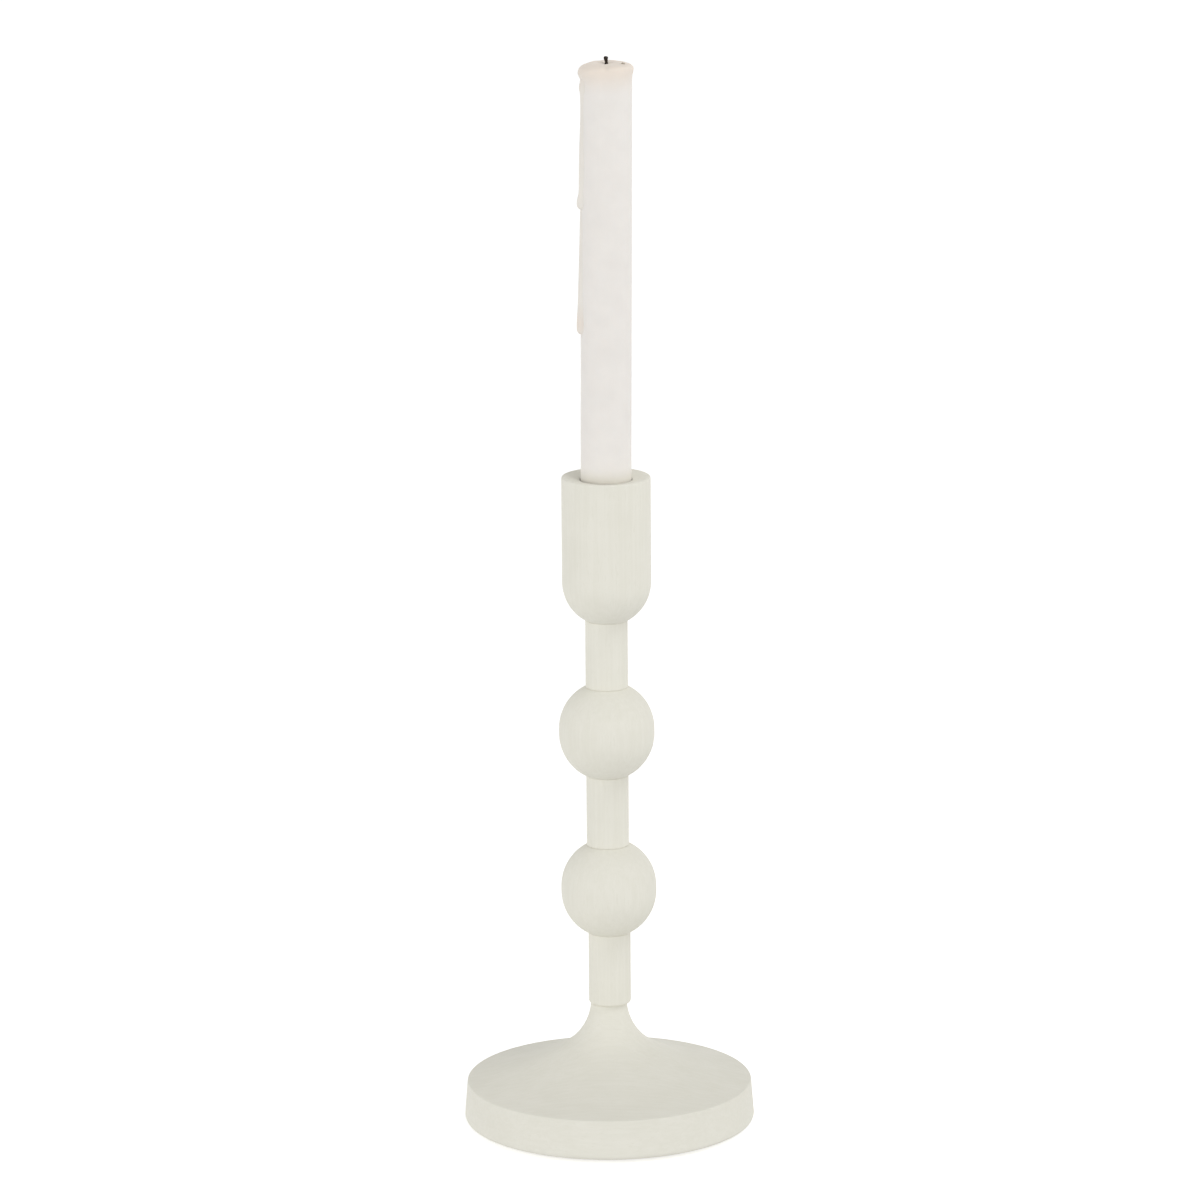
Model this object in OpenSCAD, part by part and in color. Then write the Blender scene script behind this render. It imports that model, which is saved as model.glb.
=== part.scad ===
// Stacked turned-wood candlestick with a dinner candle in its socket.
// The wooden pieces are threaded on one steel rod that clamps them between two nuts.
// Units are millimetres. +Z is up, and the origin is the centre of the felt's underside.

/* [Base] */
// Diameter at the foot of the base
base_d = 127.6; // [100:0.2:160]
// How far the edge leans in from the foot to the rim
edge_taper = 1.2; // [0:0.1:2]
// Height of the base's edge
edge_h = 17.7; // [12:0.1:22]
// Height of the whole base piece, with its neck
base_h = 52.7; // [43:0.1:64]
// Diameter of the neck where the stem stands on it
neck_d = 15.8; // [13:0.1:19]
// Radius of the sweep where the neck starts to flare
flare_r = 25; // [18:0.1:30]
// Round-over on the foot's edge
foot_round = 2; // [1:0.1:3]
// Round-over on the neck's end
neck_round = 0.5; // [0.2:0.1:0.9]

/* [Stem] */
// Diameter of the three spindles
spindle_d = 18.5; // [15:0.1:24]
// Length of the spindle that stands on the neck
lower_spindle_l = 32.2; // [20:0.1:45]
// Length of the spindle between the beads
middle_spindle_l = 31.5; // [20:0.1:45]
// Length of the spindle under the cup
upper_spindle_l = 29.9; // [20:0.1:45]
// Round-over on the foot of the stem, at the joint with the neck
joint_round = 1.2; // [0.4:0.1:1.6]
// Round-over on the other ends of the spindles
spindle_round = 0.3; // [0.2:0.1:1]
// Diameter of the beads
bead_d = 41.7; // [34:0.1:54]
// Height of the straight band round a bead's middle
bead_band_h = 2.2; // [1:0.1:8]

/* [Cup] */
// Diameter of the cup
cup_d = 38.7; // [36:0.1:48]
// Height of the cup
cup_h = 63.6; // [58:0.1:80]
// Width of the flat lip round the dished top
lip_w = 1.4; // [0.8:0.1:3]
// Depth of the dish at the socket
dish_depth = 1.3; // [0.2:0.1:3]
// Round-over on the rims of the cup and the base
rim_round = 0.8; // [0.2:0.1:1]

/* [Candle] */
// Diameter of the candle
candle_d = 22; // [18:0.1:26.4]
// Length of the candle that stands above the cup
candle_out_l = 178.9; // [80:0.1:240]
// Width of the rounded-out lip at the melted top
candle_lip = 0.9; // [0.3:0.1:1.5]
// Diameter of the wick
wick_d = 2; // [1.2:0.1:3]
// Length of burnt wick above the wax
wick_out_l = 2.6; // [1:0.1:8]
// Height that the melted top rises to at the wick
crown_h = 1; // [0.5:0.1:4]
// Thickness of the fattest wax run
run_t = 2; // [1:0.1:3]
// Width of the wax runs
run_w = 6.4; // [6:0.1:8]
// How far below the candle's top the long run ends
long_run_l = 115.7; // [80:1:140]
// How far below the candle's top the short run ends
short_run_l = 61.7; // [30:1:73]

/* [Socket] */
// Depth of the metal liner in the cup
liner_l = 22; // [16:0.1:26.4]
// Wall of the metal liner
liner_t = 0.4; // [0.3:0.1:0.8]
// How far the liner's mouth sits below the dish
liner_drop = 0.1; // [0.1:0.1:1]
// Gap all round between candle and liner
candle_gap = 0.15; // [0.1:0.05:0.5]
// Gap all round between liner and wood
liner_gap = 0.05; // [0.05:0.05:0.2]

/* [Tie rod] */
// Diameter of the threaded rod
rod_d = 6; // [5:0.1:7.2]
// Thread pitch of the rod
thread_pitch = 1; // [0.8:0.05:1.2]
// Depth of the thread
thread_depth = 0.55; // [0.3:0.05:0.7]
// Length of thread at each end of the rod
thread_l = 16; // [12:1:20]
// Gap all round between the rod and the bores in the wood
bore_gap = 0.5; // [0.1:0.05:0.8]
// Gap all round between the rod and the nuts and washers
thread_gap = 0.05; // [0.02:0.01:0.1]
// Width of the hexagon nuts across their flats
nut_af = 10; // [9:0.1:12]
// Height of the nuts
nut_h = 5; // [4:0.1:6]
// Rod standing proud of each nut
rod_proud = 1.5; // [1:0.1:2]
// Diameter of the washer in the cup
small_washer_d = 14; // [13:0.1:16.8]
// Diameter of the washer in the base
large_washer_d = 18; // [15:0.1:21.6]
// Thickness of both washers
washer_t = 1.6; // [1:0.1:2]
// Gap all round the washers in their pockets
pocket_gap = 1; // [0.5:0.1:2]

/* [Felt] */
// How far the felt is set in from the foot's edge
felt_inset = 5.8; // [3:0.1:12]
// Thickness of the felt
felt_t = 1.5; // [1:0.1:3]

/* [Hidden] */
$fn = 96;

paint = [0.89, 0.88, 0.84];
wax = [0.92, 0.90, 0.88];
zinc = [0.72, 0.73, 0.74];
tin = [0.80, 0.80, 0.78];

// Turn of the neck's sweep, from near upright to where the wide sweep takes over
flare_start = 4;
flare_end = 60;
// Slack that a cut runs past the face it opens
cut = 1;

// Heights up the stack, each from the one below it
bead_h = bead_band_h + 2 * sqrt(pow(bead_d / 2, 2) - pow(spindle_d / 2, 2));
base_z = felt_t;
lower_spindle_z = base_z + base_h;
lower_bead_z = lower_spindle_z + lower_spindle_l;
middle_spindle_z = lower_bead_z + bead_h;
upper_bead_z = middle_spindle_z + middle_spindle_l;
upper_spindle_z = upper_bead_z + bead_h;
cup_z = upper_spindle_z + upper_spindle_l;
cup_top_z = cup_z + cup_h;

// Socket, from the dish down to the pocket of the top nut
liner_d = candle_d + 2 * (candle_gap + liner_t);
socket_d = liner_d + 2 * liner_gap;
liner_top_z = cup_top_z - dish_depth - liner_drop;
liner_z = liner_top_z - liner_l;
candle_z = liner_z + liner_t;
candle_top_z = cup_top_z + candle_out_l;

// Clamped stack of washer, nut and rod end, and the pockets that hold it
clamp_h = washer_t + nut_h + rod_proud;
top_pocket_z = liner_z - clamp_h - pocket_gap / 2;
bottom_pocket_h = clamp_h + pocket_gap;
bottom_washer_z = base_z + bottom_pocket_h - washer_t;
bottom_nut_z = bottom_washer_z - nut_h;
rod_z = bottom_nut_z - rod_proud;
rod_top_z = top_pocket_z + clamp_h;
rod_l = rod_top_z - rod_z;
bore_d = rod_d + 2 * bore_gap;
clamp_bore_d = rod_d + 2 * thread_gap;

// Every turned piece is drawn as its outline from the bore outwards
bore_r = bore_d / 2;

// The base's top is two hollow sweeps that meet tangent: one round the neck, one out to the rim
neck_r = neck_d / 2;
rim_r = base_d / 2 - edge_taper;
sweep1 = [neck_r + flare_r * cos(flare_start), base_h + flare_r * sin(flare_start)];
join_dir = [cos(flare_end), sin(flare_end)];
join_pt = sweep1 - flare_r * join_dir;
rim_pt = [rim_r - rim_round, edge_h];
to_rim = rim_pt - join_pt;
sweep2_r = (to_rim * to_rim) / (2 * (to_rim * join_dir));
sweep2 = join_pt + sweep2_r * join_dir;

// Corner of a turned outline at [r, z], rounded by a circle of the given radius that touches both sides
module corner(r, z, round_r) {
    translate([r - round_r, z > 0 ? z - round_r : round_r]) circle(r = round_r);
}

module base() {
    color(paint) translate([0, 0, base_z]) difference() {
        rotate_extrude() difference() {
            union() {
                polygon([[bore_r, 0], [base_d / 2 - foot_round, 0], [base_d / 2, foot_round],
                         [rim_r, edge_h - rim_round], rim_pt, join_pt, [neck_r, base_h - neck_round],
                         [neck_r - neck_round, base_h], [bore_r, base_h]]);
                corner(base_d / 2, 0, foot_round);
                corner(rim_r, edge_h, rim_round);
                corner(neck_r, base_h, neck_round);
            }
            translate(sweep1) circle(r = flare_r);
            intersection() {
                translate(sweep2) circle(r = sweep2_r);
                translate([join_pt[0], 0]) square([base_d, base_d]);
            }
        }
        translate([0, 0, -cut])
            cylinder(d = large_washer_d + 2 * pocket_gap, h = bottom_pocket_h + cut);
    }
}

// A plain turned rod of length l with its two ends rounded
module spindle(l, low_round, high_round) {
    r = spindle_d / 2;
    color(paint) rotate_extrude() {
        polygon([[bore_r, 0], [r - low_round, 0], [r, low_round], [r, l - high_round],
                 [r - high_round, l], [bore_r, l]]);
        corner(r, 0, low_round);
        corner(r, l, high_round);
    }
}

// A ball with a straight band round its middle, cut flat where the spindles meet it
module bead() {
    r = bead_d / 2;
    low_z = (bead_h - bead_band_h) / 2;
    color(paint) rotate_extrude() intersection() {
        union() {
            translate([0, low_z]) circle(r = r);
            translate([0, low_z]) square([r, bead_band_h]);
            translate([0, low_z + bead_band_h]) circle(r = r);
        }
        translate([bore_r, 0]) square([r, bead_h]);
    }
}

module lower_spindle() {
    translate([0, 0, lower_spindle_z]) spindle(lower_spindle_l, joint_round, spindle_round);
}
module lower_bead() { translate([0, 0, lower_bead_z]) bead(); }
module middle_spindle() {
    translate([0, 0, middle_spindle_z]) spindle(middle_spindle_l, spindle_round, spindle_round);
}
module upper_bead() { translate([0, 0, upper_bead_z]) bead(); }
module upper_spindle() {
    translate([0, 0, upper_spindle_z]) spindle(upper_spindle_l, spindle_round, spindle_round);
}

// Round-bottomed cup with a dished top, the socket for the liner and the pocket of the top nut
module candle_cup() {
    r = cup_d / 2;
    bowl_z = sqrt(r * r - pow(spindle_d / 2, 2));
    color(paint) translate([0, 0, cup_z]) difference() {
        rotate_extrude() {
            intersection() {
                translate([0, bowl_z]) circle(r = r);
                translate([bore_r, 0]) square([r, bowl_z]);
            }
            polygon([[bore_r, bowl_z], [r, bowl_z], [r, cup_h - rim_round], [r - rim_round, cup_h],
                     [r - lip_w, cup_h], [socket_d / 2, cup_h - dish_depth], [bore_r, cup_h - dish_depth]]);
            corner(r, cup_h, rim_round);
        }
        translate([0, 0, top_pocket_z - cup_z]) cylinder(d = small_washer_d + 2 * pocket_gap, h = cup_h);
        translate([0, 0, liner_z - cup_z]) cylinder(d = socket_d, h = cup_h);
    }
}

// Thin metal cup that the candle stands in
module candle_liner() {
    color(tin) translate([0, 0, liner_z]) difference() {
        cylinder(d = liner_d, h = liner_l);
        translate([0, 0, liner_t]) cylinder(d = liner_d - 2 * liner_t, h = liner_l);
    }
}

// Outline of one threaded end: ridges of one pitch each, from height z0 up
function ridges(z0) = [for (i = [0 : floor(thread_l / thread_pitch) - 1], s = [0, 1])
    [rod_d / 2 - (s == 0 ? thread_depth : 0), z0 + (i + s / 2) * thread_pitch]];

module tie_rod() {
    color(zinc) translate([0, 0, rod_z]) rotate_extrude() polygon(concat(
        [[0, 0]],
        ridges(0),
        [[rod_d / 2, thread_l], [rod_d / 2, rod_l - thread_l]],
        ridges(rod_l - thread_l),
        [[rod_d / 2 - thread_depth, rod_l], [0, rod_l]]));
}

module washer(d) {
    color(zinc) difference() {
        cylinder(d = d, h = washer_t);
        translate([0, 0, -cut]) cylinder(d = clamp_bore_d, h = washer_t + 2 * cut);
    }
}

// Hexagon nut with its corners turned down at both faces
module nut() {
    corner_d = nut_af / cos(30);
    turned = 0.5;
    color(zinc) difference() {
        intersection() {
            cylinder(d = corner_d, h = nut_h, $fn = 6);
            rotate_extrude()
                polygon([[0, 0], [nut_af / 2, 0], [corner_d / 2, turned], [corner_d / 2, nut_h - turned],
                         [nut_af / 2, nut_h], [0, nut_h]]);
        }
        translate([0, 0, -cut]) cylinder(d = clamp_bore_d, h = nut_h + 2 * cut);
    }
}

module bottom_washer() { translate([0, 0, bottom_washer_z]) washer(large_washer_d); }
module bottom_nut() { translate([0, 0, bottom_nut_z]) nut(); }
module top_washer() { translate([0, 0, top_pocket_z]) washer(small_washer_d); }
module top_nut() { translate([0, 0, top_pocket_z + washer_t]) nut(); }

// Felt glued under the base, over the pocket of the bottom nut
module felt_disc() {
    color("tan") cylinder(d = base_d - 2 * felt_inset, h = felt_t);
}

// Candle body: straight sides, a softened lip and a low crown of melted wax round the wick
module candle() {
    r = candle_d / 2;
    lip_r = r + candle_lip;
    lip_h = 6;
    shoulder = 1.2;
    crown_z = candle_top_z + crown_h;
    color(wax) rotate_extrude() {
        polygon([[wick_d / 2, candle_z], [r, candle_z], [r, candle_top_z - lip_h],
                 [lip_r, candle_top_z - shoulder], [lip_r - shoulder, candle_top_z],
                 [r / 2, candle_top_z + crown_h * 0.7], [wick_d / 2, crown_z]]);
        corner(lip_r, candle_top_z, shoulder);
    }
}

// Cotton wick through the whole candle, burnt above the wax
module wick() {
    color([0.12, 0.11, 0.10]) translate([0, 0, candle_z])
        cylinder(d = wick_d, h = candle_top_z + crown_h + wick_out_l - candle_z);
}

// One run of set wax on the candle's side: a long drop, thin at its start and fat at its end
module wax_run(turn, start, end, t) {
    drop_r = run_w / 2;
    sink = drop_r - t;
    thin = 0.3;
    length = end - start;
    difference() {
        rotate([0, 0, turn]) translate([candle_d / 2 - sink, 0, candle_top_z - end]) rotate_extrude() {
            intersection() {
                translate([0, drop_r]) circle(r = drop_r);
                square([drop_r, drop_r]);
            }
            polygon([[0, drop_r], [drop_r, drop_r], [sink + thin, length - cut], [sink, length],
                     [0, length]]);
        }
        translate([0, 0, candle_z]) cylinder(d = candle_d, h = candle_top_z);
    }
}

// Two runs: the short one starts under the lip, and the long one goes on below it
module wax_runs() {
    short_turn = 193;
    long_turn = 186;
    below_lip = 7;
    between = 1;
    color(wax) {
        wax_run(short_turn, below_lip, short_run_l, run_t * 0.9);
        wax_run(long_turn, short_run_l + between, long_run_l, run_t);
    }
}

felt_disc();
base();
lower_spindle();
lower_bead();
middle_spindle();
upper_bead();
upper_spindle();
candle_cup();
candle_liner();
tie_rod();
bottom_washer();
bottom_nut();
top_washer();
top_nut();
candle();
wick();
wax_runs();
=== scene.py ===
"""Turned wooden candlestick, painted ivory, with a part-burnt dinner candle in its cup."""

import math

import bmesh
import bpy
from bpy.props import FloatProperty, FloatVectorProperty, IntProperty, PointerProperty, StringProperty
from mathutils import Matrix, Vector, noise


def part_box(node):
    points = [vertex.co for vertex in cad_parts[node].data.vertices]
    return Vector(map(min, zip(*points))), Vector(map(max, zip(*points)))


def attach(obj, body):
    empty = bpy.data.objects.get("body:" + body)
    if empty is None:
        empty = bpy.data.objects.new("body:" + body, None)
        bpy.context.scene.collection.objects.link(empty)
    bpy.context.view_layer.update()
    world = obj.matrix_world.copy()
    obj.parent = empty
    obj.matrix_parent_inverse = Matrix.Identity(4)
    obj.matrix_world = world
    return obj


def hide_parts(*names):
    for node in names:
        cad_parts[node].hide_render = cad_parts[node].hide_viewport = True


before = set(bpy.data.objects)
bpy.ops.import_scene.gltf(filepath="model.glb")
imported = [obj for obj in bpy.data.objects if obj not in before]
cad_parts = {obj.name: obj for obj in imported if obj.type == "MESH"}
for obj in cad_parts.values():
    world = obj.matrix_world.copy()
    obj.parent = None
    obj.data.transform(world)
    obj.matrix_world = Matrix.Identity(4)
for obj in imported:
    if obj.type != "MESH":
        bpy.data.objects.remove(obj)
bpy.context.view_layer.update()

bl_info = {
    "name": "Painted candlestick",
    "version": (1, 0, 0),
    "blender": (4, 5, 0),
    "location": "3D View > Sidebar > Candlestick",
    "description": "Turns, paints and lights a wooden candlestick round its packed frame",
    "category": "Object",
}

MM = 0.001
HOLDER = "candlestick"
CANDLE = "candle"
# the frame's own fits: the liner's wall, and the gaps round the liner, the candle and the washers
LINER_WALL = 0.4 * MM
LINER_GAP = 0.05 * MM
CANDLE_GAP = 0.15 * MM
POCKET_GAP = 1.0 * MM


def radius(node):
    """Radius of a round CAD node, in metres."""
    low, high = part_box(node)
    return (high.x - low.x) / 2


def span(node):
    """Lowest and highest height of a CAD node, in metres."""
    low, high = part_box(node)
    return low.z, high.z


def candle_radius():
    """Radius of the candle's straight side, as it fits in its liner."""
    return radius("candle_liner") - LINER_WALL - CANDLE_GAP


# --- Sizes and colours that a maker would change -------------------------------------------


def length(name, description, default):
    """A length in metres."""
    return FloatProperty(name=name, description=description, default=default, unit="LENGTH", precision=5)


def angle(name, description, degrees):
    """An angle, given in degrees."""
    return FloatProperty(name=name, description=description, default=math.radians(degrees), subtype="ANGLE")


def power(name, description, watts):
    """A lamp's power."""
    return FloatProperty(name=name, description=description, default=watts, min=0, unit="POWER")


def brightness(name, description, default):
    """A brightness, where 1 lights a white surface fully."""
    return FloatProperty(name=name, description=description, default=default, min=0)


def tint(name, description, default):
    """A colour, as sRGB hex."""
    return StringProperty(name=name, description=description, default=default)


class CandlestickWood(bpy.types.PropertyGroup):
    """Sizes that the turner sets on the wooden pieces."""

    bore: length("Bore", "Radius of the hole for the rod through every wooden piece", 3.5 * MM)
    neck: length("Neck", "Radius of the base's neck where the stem stands on it", 7.9 * MM)
    neck_round: length("Neck round-over", "Round-over on the edge of the neck's top", 0.5 * MM)
    flare: length("Neck sweep", "Radius of the sweep where the neck starts to flare", 25 * MM)
    flare_start: angle("Sweep start", "Lean of the neck where it meets the stem", 4)
    flare_end: angle("Sweep end", "Turn of the neck's sweep where the wide sweep takes over", 60)
    edge_height: length("Edge height", "Height of the base's edge", 17.7 * MM)
    edge_taper: length("Edge taper", "How far the edge leans in from the foot to the rim", 1.2 * MM)
    foot_round: length("Foot round-over", "Round-over on the foot's edge", 2.0 * MM)
    rim_round: length("Rim round-over", "Round-over on the rims of the base and the cup", 0.8 * MM)
    joint_round: length("Joint round-over", "Round-over on the stem's foot, over the neck", 1.2 * MM)
    end_round: length("End round-over", "Round-over on the other ends of the spindles", 0.3 * MM)
    band: length("Bead band", "Height of the straight band round a bead's middle", 2.2 * MM)
    lip: length("Cup lip", "Width of the flat lip round the cup's dished top", 1.4 * MM)
    dish: length("Cup dish", "Depth of the dish round the socket", 1.3 * MM)
    slack: length("Slack on the rod", "Most that a piece sits off the axis, within its bore's gap", 0.45 * MM)
    sides: IntProperty(name="Sides", description="Steps round a turned piece", default=160, min=32, max=256)


class CandlestickCandle(bpy.types.PropertyGroup):
    """Sizes of the candle and of how far it has burnt."""

    lean: angle("Lean", "How far the candle leans in its socket", 0.40)
    aside: length("Aside", "How far the cup, with its liner and the candle, sits off the axis", 0.1 * MM)
    crown: length("Crown", "Height of the melted top above its rim, round the wick", 1.0 * MM)
    dimple: length("Dimple", "Depth of the hollow that the flame leaves round the wick", 0.8 * MM)
    wick_aside: length("Wick's lean", "How far the burnt tip of the wick leans aside", -0.35 * MM)
    lip: length("Lip", "How far the softened lip stands out", 1.2 * MM)
    sag: length("Sag", "How far the lip has sunk on the side that the wax ran down", 0.9 * MM)
    wick: length("Wick", "Radius of the wick", 0.95 * MM)


class CandlestickColours(bpy.types.PropertyGroup):
    """Finishes, as sRGB hex colours."""

    paint: tint("Paint", "Ivory paint where it lies full", "EAE8DD")
    thin_paint: tint("Thin paint", "Ivory paint over a pore or a grain line", "E6E4D8")
    wax: tint("Wax", "Candle wax", "F2EEE9")
    # the runs' own wax colour, set a little darker than the candle's as painted shade
    run_wax: tint("Run wax", "Wax that ran down and set on the candle's side", "F1ECE4")
    # painted shade: a browner tint for the end of the long run
    run_end_shade_wax: tint("Browned wax", "Last wax to reach the end of the long run", "F1E7DD")
    warm_wax: tint("Warm wax", "Wax that has melted and set again", "F1E6DA")
    # painted shade: a darker tint for the candle's foot where it stands in the cup
    cup_shade_wax: tint("Grubby wax", "Wax that dust has settled on, down in the cup", "E9E5DB")
    char: tint("Char", "Burnt wick", "16130F")
    soot: tint("Soot", "Paler fibres of the burnt wick", "4A4038")
    crumb: tint("Crumb", "Crumbs of burnt wick", "9C9080")
    ash: tint("Ash", "Paler fibres of the crumbs", "BDB2A2")
    cotton: tint("Cotton", "Unburnt wick", "E6DFD0")
    felt: tint("Felt", "Felt under the base", "8C7D6A")
    zinc: tint("Zinc", "Zinc plate on the rod, nuts and washers", "C9CBCE")
    tin: tint("Tin", "Tinplate of the candle's liner", "D2D0CB")


class CandlestickStage(bpy.types.PropertyGroup):
    """Camera and soft studio light."""

    eye: FloatVectorProperty(
        name="Camera place", description="Where the camera stands",
        default=(-16.19 * MM, -2638.9 * MM, 855.1 * MM), subtype="TRANSLATION", unit="LENGTH",
    )
    look_down: angle("Look down", "Camera's tilt below the horizon", 13.21)
    look_aside: angle("Look aside", "Camera's turn to the right", 0.291)
    roll: angle("Roll", "Camera's roll", -0.369)
    lens: FloatProperty(
        name="Lens", description="Focal length on a 36 mm sensor",
        default=187.57, min=10, max=400, unit="CAMERA",
    )
    key: power("Key light", "Power of the light high up on the right", 8.2)
    fill: power("Fill light", "Power of the broad low light on the left", 6.8)
    side: power("Side light", "Power of the light on the right", 3.8)
    tent_foot: brightness("Tent foot", "Brightness of the light tent straight below", 0.46)
    tent_wall: brightness("Tent wall", "Brightness of the light tent at the horizon", 1.39)
    tent_side: FloatProperty(
        name="Tent sides", description="How much of that the walls at the two sides lose",
        default=0.28, min=0, max=1,
    )
    tent_top: brightness("Tent top", "Brightness of the light tent overhead", 0.29)
    glow: brightness("Floor glow", "Light that the lit floor gives back by itself", 0.5)


# --- Turning --------------------------------------------------------------------------------


def start_outline(bm, r, z):
    """First point of a turned piece's outline, at radius r and height z."""
    return bm.verts.new((r, 0, z))


def line_to(bm, point, r, z):
    """Carries the outline on in a straight line."""
    new = bmesh.ops.extrude_vert_indiv(bm, verts=[point])["verts"][0]
    new.co = (r, 0, z)
    return new


def arc_about(bm, point, r, z, bend, steps):
    """Carries the outline on round the centre [r, z]; a positive bend turns from outwards to upwards."""
    out = bmesh.ops.spin(bm, geom=[point], cent=(r, 0, z), axis=(0, -1, 0), angle=bend, steps=steps)
    return next(g for g in out["geom_last"] if isinstance(g, bmesh.types.BMVert))


def steps_to(bm, point, r, z, steps):
    """Carries the outline on in a straight line of even steps."""
    start = point.co.copy()
    for i in range(1, steps + 1):
        place = start.lerp(Vector((r, 0, z)), i / steps)
        point = line_to(bm, point, place.x, place.z)
    return point


def turn(bm, first, last, sides):
    """Closes the outline and turns it once round the upright axis, in so many sides."""
    bm.edges.new((last, first))
    bmesh.ops.spin(
        bm, geom=bm.verts[:] + bm.edges[:], cent=(0, 0, 0), axis=(0, 0, 1),
        angle=math.tau, steps=sides, use_merge=True,
    )
    bmesh.ops.remove_doubles(bm, verts=bm.verts[:], dist=0.001 * MM)


def finish_piece(bm, name, body, material, replaces=(), crisp=math.radians(32)):
    """Makes a bmesh a piece that rides on a body, smooth but for the edges that bend by more than crisp."""
    bmesh.ops.recalc_face_normals(bm, faces=bm.faces[:])
    for face in bm.faces:
        face.smooth = True
    for edge in bm.edges:
        edge.smooth = edge.calc_face_angle(0) < crisp
    mesh = bpy.data.meshes.new(name)
    bm.to_mesh(mesh)
    bm.free()
    piece = bpy.data.objects.new(name, mesh)
    bpy.context.scene.collection.objects.link(piece)
    mesh.materials.append(material)
    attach(piece, body)
    if replaces:
        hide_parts(*replaces)
    return piece


def shift(bm, right):
    """Moves a piece off the axis to the right, within its clearance."""
    bmesh.ops.translate(bm, verts=bm.verts[:], vec=(right, 0, 0))


# --- Finishes -------------------------------------------------------------------------------


def linear(hex_colour):
    """An sRGB hex colour as linear RGBA."""
    parts = [int(hex_colour[i:i + 2], 16) / 255 for i in (0, 2, 4)]
    return [c / 12.92 if c <= 0.04045 else ((c + 0.055) / 1.055) ** 2.4 for c in parts] + [1.0]


def add(tree, kind, inputs=(), stops=(), **settings):
    """Adds a node. Settings are its own options, inputs are pairs of a socket's name and its value or the
    socket joined to it, and a colour ramp's stops are pairs of a position and a grey."""
    node = tree.nodes.new(kind)
    for name, value in settings.items():
        setattr(node, name, value)
    if stops:
        band = node.color_ramp
        while len(band.elements) < len(stops):
            band.elements.new(0.5)
        for element, (place, grey) in zip(band.elements, stops):
            element.position = place
            element.color = (grey, grey, grey, 1)
    for name, value in inputs:
        if isinstance(value, bpy.types.NodeSocket):
            tree.links.new(value, node.inputs[name])
        else:
            node.inputs[name].default_value = value
    return node


def new_finish(name):
    """An empty material, its node tree and the point that its patterns are read at."""
    material = bpy.data.materials.new(name)
    material.use_nodes = True
    tree = material.node_tree
    tree.nodes.clear()
    point = add(tree, "ShaderNodeTexCoord").outputs["Object"]
    return material, tree, point


def paint_finish(name, along, seed):
    """Matte ivory milk paint brushed on close-grained turned wood.

    To the eye it is flat and chalky, with faint grain lines telegraphing through along the wood,
    soft cloudy patches where the coat is thinner, and pores as short pin-pricks.
    """
    colours = bpy.context.scene.candlestick_colours
    material, tree, point = new_finish(name)
    # each piece is cut from another place in the wood
    offset = (seed * 0.37, seed * 0.53, seed * 0.71)
    # grain lines 1.5 mm apart and about 50 mm long
    grain_point = add(tree, "ShaderNodeMapping", [
        ("Vector", point), ("Location", offset), ("Scale", {"X": (0.03, 1, 1), "Z": (1, 1, 0.03)}[along]),
    ]).outputs["Vector"]
    grain = add(tree, "ShaderNodeTexNoise", [
        ("Vector", grain_point), ("Scale", 1 / (1.5 * MM)), ("Detail", 2.0), ("Roughness", 0.5),
        ("Distortion", 0.3),
    ]).outputs["Fac"]
    # pores 0.7 mm wide and 4 mm long
    pore_point = add(tree, "ShaderNodeMapping", [
        ("Vector", point), ("Location", offset), ("Scale", {"X": (0.16, 1, 1), "Z": (1, 1, 0.16)}[along]),
    ]).outputs["Vector"]
    pores = add(tree, "ShaderNodeTexNoise", [
        ("Vector", pore_point), ("Scale", 1 / (0.7 * MM)), ("Detail", 2.0), ("Roughness", 0.5),
    ]).outputs["Fac"]
    pits = add(
        tree, "ShaderNodeValToRGB", [("Fac", pores)], stops=[(0.30, 0.0), (0.42, 1.0)],
    ).outputs["Color"]
    # patches of thinner paint, 14 mm across
    cloud = add(tree, "ShaderNodeTexNoise", [
        ("Vector", point), ("Scale", 1 / (14 * MM)), ("Detail", 4.0), ("Roughness", 0.55),
    ]).outputs["Fac"]
    # how full the coat lies, a little more by the grain than by the patches
    full = add(tree, "ShaderNodeMath", [(0, grain), (1, 0.55)], operation="MULTIPLY").outputs[0]
    full = add(tree, "ShaderNodeMath", [
        (0, cloud), (1, 0.45), (2, full),
    ], operation="MULTIPLY_ADD").outputs[0]
    cover = add(
        tree, "ShaderNodeValToRGB", [("Fac", full)], stops=[(0.34, 0.0), (0.62, 1.0)],
    ).outputs["Color"]
    colour = add(tree, "ShaderNodeMix", [
        ("Factor", cover), ("A", linear(colours.thin_paint)), ("B", linear(colours.paint)),
    ], data_type="RGBA").outputs["Result"]
    colour = add(tree, "ShaderNodeMix", [
        ("Factor", pits), ("A", linear(colours.thin_paint)), ("B", colour),
    ], data_type="RGBA").outputs["Result"]
    rough = add(
        tree, "ShaderNodeValToRGB", [("Fac", cover)], stops=[(0.0, 0.72), (1.0, 0.58)],
    ).outputs["Color"]
    # the coat is about 0.1 mm thick, and sinks by a part of that into grain and pores
    bumps = add(tree, "ShaderNodeBump", [
        ("Height", grain), ("Strength", 0.2), ("Distance", 0.06 * MM),
    ]).outputs["Normal"]
    bumps = add(tree, "ShaderNodeBump", [
        ("Height", pits), ("Strength", 0.2), ("Distance", 0.06 * MM), ("Normal", bumps),
    ]).outputs["Normal"]
    shader = add(tree, "ShaderNodeBsdfPrincipled", [
        ("Base Color", colour), ("Roughness", rough), ("IOR", 1.46), ("Specular IOR Level", 0.3),
        ("Normal", bumps),
    ])
    add(tree, "ShaderNodeOutputMaterial", [("Surface", shader.outputs["BSDF"])])
    return material


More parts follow.
